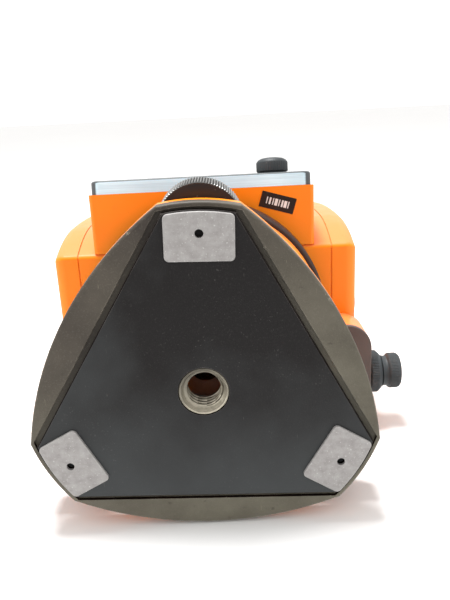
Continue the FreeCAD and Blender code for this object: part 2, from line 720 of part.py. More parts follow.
def telescope_body():
    block = rounded_box(-scope_half_x, scope_half_x, scope_y0, scope_y1, tilt_z - scope_half_z,
                        tilt_z + scope_half_z, scope_round, "y")
    block = block.makeFillet(scope_end_round, edges_where(block, lambda b: b.YLength < 1e-4))
    barrel = rod_y(barrel_r, scope_y1 - 1, barrel_end, 0, tilt_z)
    stem = rod_y(eye_stem_r, focus_y0 - 1, scope_y0 + 1, 0, tilt_z)
    body = join([block, barrel, stem])
    body = body.cut(rod_y(objective_bore, scope_y0 + 20, barrel_end + 1, 0, tilt_z))
    body = body.cut(rod_y(eye_bore, focus_y0 - 2, scope_y0 + 21, 0, tilt_z))
    for side in (-1, 1):
        inner, outer = side * (scope_half_x - 6), side * (scope_half_x + 1)
        body = body.cut(rod_x(axle_r, min(inner, outer), max(inner, outer), 0, tilt_z))
    return body


def trunnion_axles():
    axle = rod_x(axle_r, scope_half_x - 6, axle_end, 0, tilt_z)
    return Part.makeCompound([axle, mirror_x(axle)])


def trunnion_bearings():
    bearing = rod_x(bearing_r, inner_x + 1, bearing_end, 0, tilt_z)
    bearing = bearing.cut(rod_x(axle_r + shaft_fit, inner_x, bearing_end + 1, 0, tilt_z))
    return Part.makeCompound([bearing, mirror_x(bearing)])


def vertical_circle():
    disc = rod_x(glass_circle_r, glass_circle_x, glass_circle_x + glass_circle_thick, 0, tilt_z)
    return disc.cut(rod_x(axle_r, 0, outer_x, 0, tilt_z))


def objective_ring():
    ring = rod_y(objective_r, barrel_end, objective_end, 0, tilt_z)
    ring = ring.makeFillet(1.0, edges_where(ring, lambda b: b.YMin > objective_end - 1e-3))
    return ring.cut(rod_y(objective_bore, barrel_end - 1, objective_end + 1, 0, tilt_z))


def objective_lens():
    back = barrel_end - 1
    disc = rod_y(objective_bore, back, back + lens_thick + lens_bulge, 0, tilt_z)
    ball_r = (objective_bore ** 2 + lens_bulge ** 2) / (2 * lens_bulge)
    front = back + lens_thick + lens_bulge
    return disc.common(Part.makeSphere(ball_r, V(0, front - ball_r, tilt_z)))


def focus_ring():
    ring = toothed(focus_r, 0.8, focus_teeth, V(0, focus_y0, tilt_z), V(0, focus_y1, tilt_z))
    return ring.cut(rod_y(eye_stem_r + shaft_fit, focus_y0 - 1, focus_y1 + 1, 0, tilt_z))


def eyepiece():
    start = focus_y0 - move_gap
    cup = rod_y(eye_r, eye_end, start - eye_grip, 0, tilt_z)
    cup = cup.makeChamfer(2.0, edges_where(cup, lambda b: b.YMax < eye_end + 1e-3))
    grip = toothed(eye_r + 1.0, grip_tooth, grip_teeth, V(0, start - eye_grip, tilt_z), V(0, start, tilt_z))
    eye = join([cup, grip]).cut(rod_y(eye_bore, eye_end - 1, start + 1, 0, tilt_z))
    return eye.cut(rod_y(eye_stem_r + shaft_fit, focus_y0 - 1 - shaft_fit, start + 1, 0, tilt_z))


# ---- handle ----

def handle():
    half_depth = handle_depth / 2
    bow = box(-seam_x, seam_x, -half_depth, half_depth, standard_top, handle_top)
    shoulders = edges_where(bow, lambda b: b.ZMin > handle_top - 1e-3 and b.XLength < 1e-4)
    bow = bow.makeFillet(handle_round, shoulders)
    gap_half = seam_x - handle_leg
    gap = box(-gap_half, gap_half, -half_depth - 1, half_depth + 1, standard_top - 20, handle_under)
    gap = gap.makeFillet(handle_inner_round, edges_where(gap, lambda b: b.ZMin > handle_under - 1e-3
                                                         and b.XLength < 1e-4))
    bow = bow.cut(gap)
    outer_edges = edges_where(bow, lambda b: b.YLength < 1e-4 and b.ZMax > standard_top + 1)
    bow = bow.makeFillet(handle_edge_round, outer_edges)
    for side in (-1, 1):
        x0, x1 = sorted((side * lug_x0, side * lug_x1))
        bow = bow.cut(box(x0, x1, -lug_half, lug_half, standard_top - 1, standard_top + lug_height))
        s0, s1 = sorted((side * lug_x1, side * (seam_x + 1)))
        bow = bow.cut(rod_x(thumb_shank_r, s0, s1, 0, standard_top + lug_height / 2))
    return bow


def handle_screws():
    z = standard_top + lug_height / 2
    head = toothed(thumb_r, 0.4, 30, V(seam_x, 0, z), V(seam_x + thumb_length, 0, z))
    screw = join([head, rod_x(thumb_shank_r, lug_x0 + 3, seam_x, 0, z)])
    return Part.makeCompound([screw, mirror_x(screw)])


# ---- every node ----

upper = {
    "axis_spindle": axis_spindle,
    "lower_ring": lower_ring,
    "alidade_base": alidade_base,
    "left_standard": left_standard,
    "right_standard": right_standard,
    "left_side_cover": left_side_cover,
    "right_side_cover": right_side_cover,
    "cover_screws": cover_screws,
    "display_box": display_box,
    "panel_bezel": panel_bezel,
    "panel_plate": panel_plate,
    "lcd_window": lcd_window,
    "display_board": display_board,
    "panel_knob": panel_knob,
    "asset_label": asset_label,
    "plate_level_housing": plate_level_housing,
    "plate_level_vial": plate_level_vial,
    "circular_level_housing": circular_level_housing,
    "circular_level_vial": circular_level_vial,
    "plummet_housing": plummet_housing,
    "plummet_eyepiece": plummet_eyepiece,
    "drive_housing": drive_housing,
    "drive_housing_cover": drive_housing_cover,
    "telescope_body": telescope_body,
    "trunnion_axles": trunnion_axles,
    "trunnion_bearings": trunnion_bearings,
    "vertical_circle": vertical_circle,
    "objective_ring": objective_ring,
    "objective_lens": objective_lens,
    "focus_ring": focus_ring,
    "eyepiece": eyepiece,
    "handle": handle,
    "handle_screws": handle_screws,
    "battery_pack": battery_pack,
    "battery_latch": battery_latch,
}

lower = {
    "base_casting": base_casting,
    "base_cover_plate": base_cover_plate,
    "foot_pads": foot_pads,
    "tripod_bushing": tripod_bushing,
    "tribrach_body": tribrach_body,
    "foot_screw_sleeves": foot_screw_sleeves,
    "axis_bush": axis_bush,
    "horizontal_circle": horizontal_circle,
}

nodes = {name: make() for name, make in upper.items()}
nodes["horizontal_clamp_ring"] = clamp_ring(drive_x1, drive_axis_y, drive_z, clamp_r, clamp_width)
nodes["horizontal_tangent_knob"] = tangent_knob(drive_x1, drive_axis_y, drive_z, tangent_r, tangent_width,
                                                clamp_width)
nodes["vertical_clamp_ring"] = clamp_ring(outer_x, vertical_y, vertical_z, vertical_clamp_r,
                                          vertical_clamp_width)
nodes["vertical_tangent_knob"] = tangent_knob(outer_x, vertical_y, vertical_z, vertical_tangent_r,
                                              vertical_tangent_width, vertical_clamp_width)
for key_name, key_place in key_places().items():
    nodes[key_name] = key(key_place)

turned = {name: make() for name, make in lower.items()}
for corner, screw, knob in zip(("front", "right", "left"), at_screw(foot_screw), at_screw(foot_knob)):
    turned["foot_screw_" + corner] = screw
    turned["foot_knob_" + corner] = knob
for name, shape in turned.items():
    shape.rotate(ORIGIN, ALONG_Z, base_turn)
    nodes[name] = shape

os.makedirs("parts", exist_ok=True)
for name, shape in nodes.items():
    shape.exportStep("parts/" + name + ".step")
    state = "valid" if shape.isValid() else "NOT VALID"
    print(name, len(shape.Solids), "solids", round(shape.Volume / 1000, 2), "cm3", state)
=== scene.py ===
import math

import bmesh
import bpy
from mathutils import Matrix, Vector


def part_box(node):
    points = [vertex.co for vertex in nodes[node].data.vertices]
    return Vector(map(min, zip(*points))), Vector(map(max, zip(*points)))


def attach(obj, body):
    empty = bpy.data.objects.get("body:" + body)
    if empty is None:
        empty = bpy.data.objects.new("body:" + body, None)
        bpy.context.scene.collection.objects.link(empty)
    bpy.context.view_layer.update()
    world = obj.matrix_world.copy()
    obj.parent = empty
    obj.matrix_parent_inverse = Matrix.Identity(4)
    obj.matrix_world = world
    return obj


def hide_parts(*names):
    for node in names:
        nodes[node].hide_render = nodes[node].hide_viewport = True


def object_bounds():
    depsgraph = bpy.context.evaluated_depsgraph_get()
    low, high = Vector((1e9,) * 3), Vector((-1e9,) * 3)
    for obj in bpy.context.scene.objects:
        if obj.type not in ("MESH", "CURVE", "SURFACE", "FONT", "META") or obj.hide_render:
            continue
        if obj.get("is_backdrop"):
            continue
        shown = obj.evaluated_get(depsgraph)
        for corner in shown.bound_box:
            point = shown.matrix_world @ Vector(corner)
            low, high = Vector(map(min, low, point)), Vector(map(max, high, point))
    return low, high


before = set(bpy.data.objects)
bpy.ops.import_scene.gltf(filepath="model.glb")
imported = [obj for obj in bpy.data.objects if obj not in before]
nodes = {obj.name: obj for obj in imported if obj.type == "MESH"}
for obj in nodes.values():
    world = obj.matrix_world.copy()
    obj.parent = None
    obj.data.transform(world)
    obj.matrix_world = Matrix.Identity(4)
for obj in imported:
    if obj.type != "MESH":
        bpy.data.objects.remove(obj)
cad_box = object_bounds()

MM = 0.001
TURN = 2 * math.pi
FLOOR_GAP = 0.6         # mm between the instrument's back and the table
FOOT_SCREW_R = 4.5      # mm
KNOB_OVERSIZE = 0.3     # mm by which a foot knob's knurl stands out past its plain CAD knob
THREAD_PITCH, THREAD_CREST_R, THREAD_DEPTH = 2.309, 6.95, 1.1   # mm
THREAD_END, RELIEF_R = 10.9, 8.4   # mm: where the bushing's thread ends, and the wider bore behind it
DRIVE_NECK = 3.2        # mm
PANEL_LEAN, DIAL_HEIGHT = 12, 8.0   # degrees that the keyboard leans back, and mm that its knob stands out
LABEL_TURN = 16.6       # degrees
scene = bpy.context.scene


# ---- camera, floor and light ----
# The instrument lies on its back: the table is the plane behind it, and the camera looks up at its base.
camera_data = bpy.data.cameras.new("camera")
camera_data.sensor_width = 36.0
camera_data.lens = 38.4
camera_data.clip_start, camera_data.clip_end = 0.01, 30.0
camera = bpy.data.objects.new("camera", camera_data)
scene.collection.objects.link(camera)
right, up, ahead = Vector((0.9988, 0.0482, -0.0063)), Vector((0.0479, -0.9517, 0.3032)), Vector((-0.0086,
        0.3031, 0.9529))
camera.matrix_world = Matrix.Translation((0.01233, -0.11116, -0.2295)) @ Matrix((right, up,
        -ahead)).transposed().to_4x4()
scene.camera = camera
scene.view_settings.view_transform = "Standard"


def tone(code, alpha=1.0):
    """A display colour 0xRRGGBB as the linear numbers that a shader takes."""
    parts = [(code >> s & 255) / 255 for s in (16, 8, 0)]
    return (*[p / 12.92 if p <= 0.04045 else ((p + 0.055) / 1.055) ** 2.4 for p in parts], alpha)


class Look:
    """One material: a Principled shader, with short calls for the nodes that feed it.
    Places are in metres in the model's frame."""

    def __init__(self, name, **constants):
        self.material = bpy.data.materials.new(name)
        self.material.use_nodes = True
        self.tree = self.material.node_tree
        self.tree.nodes.clear()
        self.shader = self.node("ShaderNodeBsdfPrincipled")
        self.out = self.node("ShaderNodeOutputMaterial")
        self.tree.links.new(self.shader.outputs[0], self.out.inputs["Surface"])
        coords = self.node("ShaderNodeTexCoord")
        self.place, self.facing = coords.outputs["Object"], coords.outputs["Normal"]
        for socket, value in constants.items():
            self.shader.inputs[socket.replace("_", " ")].default_value = value

    def node(self, kind, feeds=(), **settings):
        n = self.tree.nodes.new(kind)
        for k, v in settings.items():
            setattr(n, k, v)
        for k, v in dict(feeds).items():
            if isinstance(v, bpy.types.NodeSocket):
                self.tree.links.new(v, n.inputs[k])
            else:
                n.inputs[k].default_value = v
        return n

    def set(self, **sockets):
        for k, v in sockets.items():
            self.tree.links.new(v, self.shader.inputs[k.replace("_", " ")])
        return self

    def maths(self, operation, a, b=0.0, c=0.0):
        return self.node("ShaderNodeMath", {0: a, 1: b, 2: c}, operation=operation).outputs[0]

    def vector(self, operation, a, b=(0.0, 0.0, 0.0)):
        n = self.node("ShaderNodeVectorMath", {0: a, 1: b}, operation=operation)
        return n.outputs["Value" if operation in ("DOT_PRODUCT", "LENGTH", "DISTANCE") else "Vector"]

    def band(self, value, low, high, to_low=0.0, to_high=1.0):
        feeds = {"Value": value, "From Min": low, "From Max": high, "To Min": to_low, "To Max": to_high}
        return self.node("ShaderNodeMapRange", feeds, clamp=True).outputs[0]

    def mix(self, share, a, b):
        return self.node("ShaderNodeMix", {0: share, 6: a, 7: b}, data_type="RGBA").outputs[2]

    def stretched(self, scale, turn=(0.0, 0.0, 0.0)):
        return self.node("ShaderNodeMapping", {"Vector": self.place, "Rotation": turn,
                                               "Scale": scale}).outputs[0]

    def noise(self, scale, detail=3.0, rough=0.55, at=None, warp=0.0):
        feeds = {"Vector": at or self.place, "Scale": scale, "Detail": detail, "Roughness": rough,
                 "Distortion": warp}
        return self.node("ShaderNodeTexNoise", feeds).outputs[0]

    def cells(self, scale, at=None, feature="F1"):
        feeds = {"Vector": at or self.place, "Scale": scale}
        return self.node("ShaderNodeTexVoronoi", feeds, feature=feature).outputs["Distance"]

    def part(self, vector, axis):
        return self.node("ShaderNodeSeparateXYZ", {0: vector}).outputs["XYZ".index(axis)]

    def rounded(self, radius):
        """The normal with every edge rounded by that radius."""
        return self.node("ShaderNodeBevel", {"Radius": radius}, samples=3).outputs[0]

    def edges(self, radius, low=0.02, high=0.12):
        """1 along edges and 0 on flats."""
        flat = self.node("ShaderNodeNewGeometry").outputs["Normal"]
        return self.band(self.vector("DOT_PRODUCT", flat, self.rounded(radius)), 1 - low, 1 - high)

    def bump(self, height, distance, strength=1.0, over=None):
        feeds = {"Height": height, "Distance": distance, "Strength": strength}
        if over is not None:
            feeds["Normal"] = over
        return self.node("ShaderNodeBump", feeds).outputs[0]

    def scratches(self, count_scale, turn, cut=0.735):
        """Short thin lines that run one way."""
        lines = self.noise(1.0, 1.0, at=self.stretched((count_scale * 9, count_scale, count_scale), turn))
        gaps = self.noise(count_scale * 0.35, 2.0)
        return self.maths("MULTIPLY", self.band(lines, cut, cut + 0.02), self.band(gaps, 0.52, 0.6))


ORANGE, ORANGE_DEEP = (0.95, 0.265, 0.001, 1), (0.91, 0.235, 0.001, 1)
# The last colour here is a paler orange, used as a painted highlight on faces turned to -Y.
ORANGE_PALE, ORANGE_PAINTED_HIGHLIGHT = (0.97, 0.36, 0.02, 1), (0.93, 0.245, 0.07, 1)


def orange_paint(name, grain, rough, depth, painted_shade_below=None):
    """Satin orange enamel, with a fine skin, faint dirt and a little wear along edges that also carries a
    painted highlight; paler orange where it faces -Y as a painted highlight, and near black painted shade on
    its underside below a given height.
    """
    look = Look(name, IOR=1.48, Specular_IOR_Level=0.34, Coat_Weight=0.12, Coat_Roughness=0.16)
    drift = look.band(look.noise(16, 3), 0.35, 0.68)
    skin = look.noise(grain, 2)
    dirt = look.band(look.noise(55, 5, 0.7), 0.62, 0.8, 0.0, 0.35)
    specks = look.band(look.noise(700, 2), 0.74, 0.78, 0.0, 0.5)
    # Paler orange along edges: partly wear, partly a painted highlight.
    edge_wear_and_sheen = look.maths("MULTIPLY", look.edges(0.0005), look.band(look.noise(180, 4), 0.45, 0.7))
    # Painted highlight: paler orange on faces turned to -Y, where the strongest light falls.
    painted_highlight = look.band(look.part(look.facing, "Y"), -0.45, -0.9, 0.0, 0.9)
    colour = look.mix(painted_highlight, look.mix(drift, ORANGE_DEEP, ORANGE), ORANGE_PAINTED_HIGHLIGHT)
    colour = look.mix(dirt, colour, (0.62, 0.12, 0.015, 1))
    colour = look.mix(specks, colour, (0.4, 0.09, 0.015, 1))
    colour = look.mix(look.maths("MULTIPLY", edge_wear_and_sheen, 0.55), colour, ORANGE_PALE)
    # Painted shade: near black on down-facing faces below the given height, where the view up the bore is in
    # shadow.
    if painted_shade_below is not None:
        low = look.maths("MULTIPLY", look.band(look.part(look.place, "Z"), painted_shade_below + 0.001,
                                               painted_shade_below), look.band(look.part(look.facing, "Z"), -0.5,
                                                       -0.8))
        colour = look.mix(low, colour, tone(0x131519))
    roughness = look.maths("ADD", look.band(look.noise(90, 4), 0.3, 0.7, rough - 0.06, rough + 0.08),
                           look.maths("MULTIPLY", dirt, 0.3))
    return look.set(Base_Color=colour, Roughness=roughness, Normal=look.bump(skin, depth, 0.5,
            look.rounded(0.0004)))


def casting():
    """The levelling base: orange outside, grey-brown and mottled underneath with painted shade away from the
    table and to the left, near black inside its rim as painted shade in the gap, with chips along its edge."""
    look = Look("casting_paint", IOR=1.45)
    outward = look.node("ShaderNodeVectorMath", {0: look.vector("MULTIPLY", look.place, (1, 1, 0))},
                        operation="NORMALIZE").outputs[0]
    out_share = look.vector("DOT_PRODUCT", outward, look.facing)
    rim_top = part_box("base_casting")[0].z + 0.0048
    side = look.band(look.part(look.place, "Z"), rim_top - 0.0002, rim_top + 0.0002)
    side = look.maths("MULTIPLY", side, look.band(out_share, 0.1, 0.3))
    above = look.band(look.part(look.facing, "Z"), 0.25, 0.5)
    orange_share = look.maths("MAXIMUM", side, above)
    ragged = look.maths("ADD", orange_share, look.band(look.noise(420, 4, 0.7), 0.3, 0.75, -0.35, 0.3))
    orange_share = look.band(ragged, 0.42, 0.55)
    inside = look.band(out_share, -0.12, -0.4)
    mottle = look.band(look.noise(32, 6, 0.65), 0.33, 0.7)
    cloud = look.band(look.noise(9, 3), 0.38, 0.66)
    sand = look.noise(1500, 3, 0.7)
    # Painted shade and light: darker away from the table and to the left, lighter towards the table and to
    # the right.
    lower = look.maths("ADD", look.part(look.place, "Y"), look.maths("MULTIPLY", look.part(look.place, "X"),
            0.45))
    lower = look.band(look.maths("ADD", lower, look.band(look.noise(14, 3), 0.3, 0.7, -0.02, 0.02)), -0.085,
                      0.075)
    shaded = look.mix(mottle, tone(0x2F2621), tone(0x463C34))
    painted_light_tableward = look.mix(mottle, tone(0x575244), tone(0x736F5F))
    bare = look.mix(lower, shaded, painted_light_tableward)
    bare = look.mix(look.maths("MULTIPLY", cloud, 0.3), bare, tone(0x625D50))
    bare = look.mix(look.band(sand, 0.55, 0.8, 0.0, 0.4), bare, tone(0x7B766A))
    bare = look.mix(look.band(look.noise(240, 3), 0.66, 0.74, 0.0, 0.55), bare, tone(0x3A332A))
    bare = look.mix(look.maths("MULTIPLY", look.scratches(210, (0, 0, 0.6), 0.75), 0.35), bare,
                    tone(0x9A927F))
    # Painted shade: the rim's inward-facing wall is near black, as the gap between rim and plate lies in
    # shadow, with a few orange patches; it is also made less specular.
    painted_gap_shade = look.mix(look.band(look.noise(60, 4), 0.35, 0.7), tone(0x1B1310), tone(0x2A1D17))
    painted_gap_shade = look.mix(look.band(look.noise(28, 3), 0.69, 0.74, 0.0, 0.85), painted_gap_shade, ORANGE_DEEP)
    paint = look.mix(look.band(look.noise(40, 4), 0.3, 0.7), ORANGE_DEEP, ORANGE)
    colour = look.mix(inside, bare, painted_gap_shade)
    colour = look.mix(orange_share, colour, paint)
    chips = look.maths("MULTIPLY", look.edges(0.0011, 0.01, 0.1),
                       look.band(look.noise(110, 5, 0.75), 0.63, 0.67))
    rubbed = look.maths("MULTIPLY", look.edges(0.0005), look.band(look.noise(70, 5, 0.7), 0.42, 0.6, 0.1,
            0.75))
    colour = look.mix(rubbed, colour, tone(0x9C9384))
    colour = look.mix(chips, colour, tone(0xCFC4B0))
    rough = look.band(orange_share, 0.0, 1.0, 0.5, 0.36)
    look.set(Specular_IOR_Level=look.band(inside, 0.0, 1.0, 0.5, 0.06))
    pits = look.maths("ADD", sand, look.maths("MULTIPLY", mottle, 0.6))
    return look.set(Base_Color=colour, Roughness=rough, Normal=look.bump(pits, 0.00016, 0.75,
            look.rounded(0.0003)))


def cover_plate_paint():
    """Black wrinkle paint with dust specks, lighter grey towards the back as painted reflection and towards
    the left, near black painted shade on its sloped edge, fine scratches, and light edges that are partly
    wear and partly painted highlight.
    """
    look = Look("cover_plate_paint", IOR=1.5)
    wrinkle = look.noise(1900, 3, 0.6, warp=0.6)
    # Painted reflection: lighter, bluish grey towards the table side, where the plate would mirror the bright
    # table; also lighter towards the left.
    patch = look.band(look.noise(22, 4), 0.3, 0.7, -0.016, 0.016)
    painted_light_tableward = look.band(look.maths("ADD", look.part(look.place, "Y"), patch), -0.012, 0.05)
    left = look.band(look.maths("ADD", look.part(look.place, "X"), patch), -0.022, -0.05, 0.0, 0.6)
    painted_sheen = look.maths("MAXIMUM", painted_light_tableward, left)
    colour = look.mix(painted_sheen, tone(0x141010), tone(0x383B3C))
    # Painted shade: near black and less specular on the plate's sloped edge, where the gap round it lies in
    # shadow.
    slope = look.band(look.part(look.facing, "Z"), -0.96, -0.85)
    colour = look.mix(slope, colour, tone(0x120B08))
    look.set(Specular_IOR_Level=look.band(slope, 0.0, 1.0, 0.4, 0.1))
    colour = look.mix(look.band(wrinkle, 0.55, 0.8, 0.0, 0.4), colour, tone(0x3E3B39))
    dust = look.maths("MULTIPLY", look.band(look.noise(1300, 2), 0.66, 0.76),
                      look.band(look.noise(20, 3), 0.45, 0.68, 0.1, 1.0))
    colour = look.mix(look.maths("MULTIPLY", dust, 0.24), colour, tone(0x8E8A86))
    lines = look.maths("MAXIMUM", look.scratches(150, (0, 0, 0.9), 0.765),
                       look.scratches(190, (0, 0, -0.5), 0.775))
    colour = look.mix(look.maths("MULTIPLY", lines, 0.14), colour, tone(0xA09A92))
    # Lighter edges: partly wear, partly a painted highlight.
    edge_wear_and_sheen = look.maths("MULTIPLY", look.edges(0.0004, 0.02, 0.14), look.band(look.noise(75, 4), 0.3, 0.62))
    colour = look.mix(look.maths("MULTIPLY", edge_wear_and_sheen, 0.5), colour, tone(0x8B8580))
    rough = look.band(look.noise(34, 4), 0.3, 0.7, 0.46, 0.58)
    return look.set(Base_Color=colour, Roughness=rough, Normal=look.bump(wrinkle, 0.00007, 0.8,
            look.rounded(0.0003)))


def cast_grey(name, dark, light, metal, rough, sand_scale=1700):
    """Bare light metal with a sandy, speckled face."""
    look = Look(name, Metallic=metal, IOR=1.5)
    sand = look.noise(sand_scale, 3, 0.7)
    blotch = look.band(look.noise(260, 4, 0.65), 0.32, 0.7)
    colour = look.mix(blotch, dark, light)
    colour = look.mix(look.band(sand, 0.6, 0.75, 0.0, 0.45), colour, tone(0x8A8886))
    colour = look.mix(look.band(look.noise(sand_scale * 0.8, 2), 0.64, 0.72, 0.0, 0.65), colour,
                      tone(0xD9D8D5))
    colour = look.mix(look.maths("MULTIPLY", look.edges(0.0004), 0.5), colour, tone(0xC9C8C4))
    roughness = look.band(look.noise(200, 3), 0.3, 0.7, rough - 0.08, rough + 0.1)
    return look.set(Base_Color=colour, Roughness=roughness, Normal=look.bump(sand, 0.00007, 0.6,
            look.rounded(0.0003)))


def turned_metal(name, dark, light, rough=0.3, grime=0.4, axis="Z", metal=0.9, painted_shade_front=None):
    """Lathe-turned metal: fine rings along the axis, with grime in patches. Given a front distance, it is
    darkened towards the front and left as painted shade."""
    look = Look(name, Metallic=metal, IOR=1.6)
    scale = tuple(4200 if a == axis else 40 for a in "XYZ")
    rings = look.noise(1.0, 3, at=look.stretched(scale))
    dirt = look.band(look.noise(170, 4, 0.7), 0.45, 0.75, 0.0, grime)
    colour = look.mix(dirt, look.mix(rings, dark, light), tone(0x2E2620))
    if painted_shade_front:
        # Painted shade: darker towards the front and left, by place.
        across = look.maths("ADD", look.part(look.place, "Y"),
                            look.maths("MULTIPLY", look.part(look.place, "X"), 0.5))
        colour = look.mix(look.band(across, painted_shade_front, -painted_shade_front, 0.8, 0.0), colour, tone(0x2F2A22))
    roughness = look.maths("ADD", look.band(rings, 0.3, 0.7, rough - 0.06, rough + 0.12),
                           look.maths("MULTIPLY", dirt, 0.4))
    return look.set(Base_Color=colour, Roughness=roughness, Normal=look.bump(rings, 0.00002, 0.4))


def moulded(name, dark, light, rough=0.5, grain=1500, depth=0.00004, metal=0.0, edge=0.35):
    """Grained moulding, a little dusty and rubbed along its edges."""
    look = Look(name, IOR=1.47, Metallic=metal)
    texture = look.noise(grain, 3, 0.6)
    colour = look.mix(look.band(look.noise(45, 4), 0.32, 0.7), dark, light)
    colour = look.mix(look.band(look.noise(600, 2), 0.7, 0.76, 0.0, 0.3), colour, tone(0x8D8B88))
    rubbed = look.maths("MULTIPLY", look.edges(0.0004), look.band(look.noise(140, 4), 0.35, 0.65, 0.2, 1.0))
    colour = look.mix(look.maths("MULTIPLY", rubbed, edge), colour, look.mix(0.5, light, tone(0xB5B5B2)))
    roughness = look.band(look.noise(110, 3), 0.3, 0.7, rough - 0.07, rough + 0.07)
    return look.set(Base_Color=colour, Roughness=roughness, Normal=look.bump(texture, depth, 0.55,
            look.rounded(0.0003)))


def bezel_paint():
    """The keyboard's frame: brushed light metal under its foot, and dark grey paint on its face, ends and
    rounded edge."""
    look = Look("bezel_paint", IOR=1.47, Metallic=0.1, Specular_IOR_Level=0.4)
    brushed = look.noise(1.0, 3, at=look.stretched((22, 1500, 1500)))
    cloud = look.band(look.noise(30, 4), 0.3, 0.7)
    light = look.mix(cloud, tone(0xB6D3E0), tone(0xD2ECF6))
    light = look.mix(look.band(brushed, 0.4, 0.75, 0.0, 0.5), light, tone(0x9CB6C1))
    dark = look.mix(cloud, tone(0x43484B), tone(0x525759))
    under = look.band(look.part(look.facing, "Z"), -0.86, -0.93)
    colour = look.mix(under, dark, light)
    # Lighter edges: wear, with a painted highlight along them.
    edge_wear_and_sheen = look.maths("MULTIPLY", look.edges(0.0004), look.band(look.noise(140, 4), 0.4, 0.65, 0.0, 0.5))
    colour = look.mix(edge_wear_and_sheen, colour, tone(0x9DA3A4))
    rough = look.band(look.noise(110, 3), 0.3, 0.7, 0.38, 0.5)
    return look.set(Base_Color=colour, Roughness=rough, Normal=look.bump(brushed, 0.00002, 0.4,
            look.rounded(0.0003)))


def glass(name, tint, rough=0.03, through=0.95):
    """Clear or tinted glass with faint smears."""
    look = Look(name, IOR=1.5, Transmission_Weight=through, Coat_Weight=0.4, Coat_Roughness=0.05)
    smear = look.band(look.noise(60, 5, 0.7), 0.45, 0.8)
    colour = look.mix(look.maths("MULTIPLY", smear, 0.25), tint, (0.9, 0.92, 0.9, 1))
    return look.set(Base_Color=colour, Roughness=look.band(smear, 0, 1, rough, rough + 0.12))


def vial(name, node, bubble, marks):
    """Yellow-green spirit with its bubble and black graduation lines, round the middle of a node's box."""
    low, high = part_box(node)
    middle = (low + high) / 2
    look = Look(name, IOR=1.48, Transmission_Weight=0.35, Coat_Weight=0.6, Coat_Roughness=0.04)
    off = look.vector("SUBTRACT", look.place, tuple(middle))
    from_middle = look.vector("LENGTH", look.vector("MULTIPLY", off, (1 / bubble[0], 1 / bubble[1], 0)))
    inside = look.band(from_middle, 1.0, 0.93)
    rim = look.maths("MULTIPLY", look.band(from_middle, 0.86, 0.93), look.band(from_middle, 1.06, 1.0))
    spirit = look.mix(look.noise(120, 3), (0.42, 0.62, 0.06, 1), (0.55, 0.75, 0.12, 1))
    colour = look.mix(inside, spirit, (0.8, 0.9, 0.5, 1))
    colour = look.mix(rim, colour, (0.16, 0.22, 0.03, 1))
    for kind, distance, width in marks:
        where = look.maths("ABSOLUTE", look.part(off, "X")) if kind == "line" else look.vector("LENGTH",
                look.vector("MULTIPLY", off, (1, 1, 0)))
        line = look.band(look.maths("ABSOLUTE", look.maths("SUBTRACT", where, distance)), width, width * 0.6)
        colour = look.mix(line, colour, (0.01, 0.01, 0.01, 1))
    return look.set(Base_Color=colour, Roughness=look.band(look.noise(300, 2), 0.3, 0.7, 0.04, 0.12))


def screen():
    """The unlit liquid-crystal display: grey-green, with its fine grid of dots."""
    look = Look("screen", IOR=1.5, Coat_Weight=0.7, Coat_Roughness=0.06)
    pitch = 0.00055
    gaps = []
    for axis in "XZ":
        phase = look.maths("FRACT", look.maths("DIVIDE", look.part(look.place, axis), pitch))
        gaps.append(look.band(look.maths("ABSOLUTE", look.maths("SUBTRACT", phase, 0.5)), 0.40, 0.46))
    grid = look.maths("MAXIMUM", *gaps)
    face = look.mix(look.band(look.noise(25, 4), 0.3, 0.7), tone(0x7F8B74), tone(0x8F9A83))
    colour = look.mix(look.maths("MULTIPLY", grid, 0.35), face, tone(0x9BA58F))
    return look.set(Base_Color=colour, Roughness=look.band(look.noise(80, 4), 0.3, 0.7, 0.16, 0.28))


def circuit():
    """Green board with faint tracks."""
    look = Look("circuit", IOR=1.5)
    tracks = look.band(look.cells(260, feature="DISTANCE_TO_EDGE"), 0.04, 0.08)
    colour = look.mix(tracks, tone(0x3F8A55), tone(0x17492B))
    return look.set(Base_Color=colour, Roughness=look.band(tracks, 0, 1, 0.3, 0.5),
                    Normal=look.bump(tracks, 0.00003, 0.5))


def sticker():
    """A black printed sticker, slightly scuffed."""
    look = Look("sticker", IOR=1.46)
    scuff = look.band(look.noise(190, 5, 0.7), 0.58, 0.8, 0.0, 0.4)
    colour = look.mix(scuff, tone(0x1B1A1B), tone(0x4A4848))
    return look.set(Base_Color=colour, Roughness=look.band(scuff, 0, 0.4, 0.34, 0.6),
                    Normal=look.bump(look.noise(900, 2), 0.00002, 0.4))


cast_orange = orange_paint("orange_enamel", 1300, 0.36, 0.00006)
moulded_orange = orange_paint("orange_moulding", 1900, 0.42, 0.00005)
black_grip = moulded("black_grip", tone(0x2B3033), tone(0x3B4144), 0.5, 1700)
steel = turned_metal("steel", tone(0x8F8F8E), tone(0xC4C4C2), 0.28, 0.25)
steel_side = turned_metal("steel_side", tone(0x8F8F8E), tone(0xC4C4C2), 0.28, 0.25, "X")
bronze = turned_metal("bronze", tone(0x2E2A26), tone(0x4A4238), 0.42, 0.6, metal=0.6)
# The bushing's metal gets painted shade towards the front.
bushing_metal = turned_metal("bushing_metal", tone(0xB4AC98), tone(0xEAE2CE), 0.32, 0.45, metal=0.5,
                             painted_shade_front=-0.01)
groove_metal = turned_metal("groove_metal", tone(0x1F1E1D), tone(0x3A3937), 0.45, 0.3, metal=0.6)
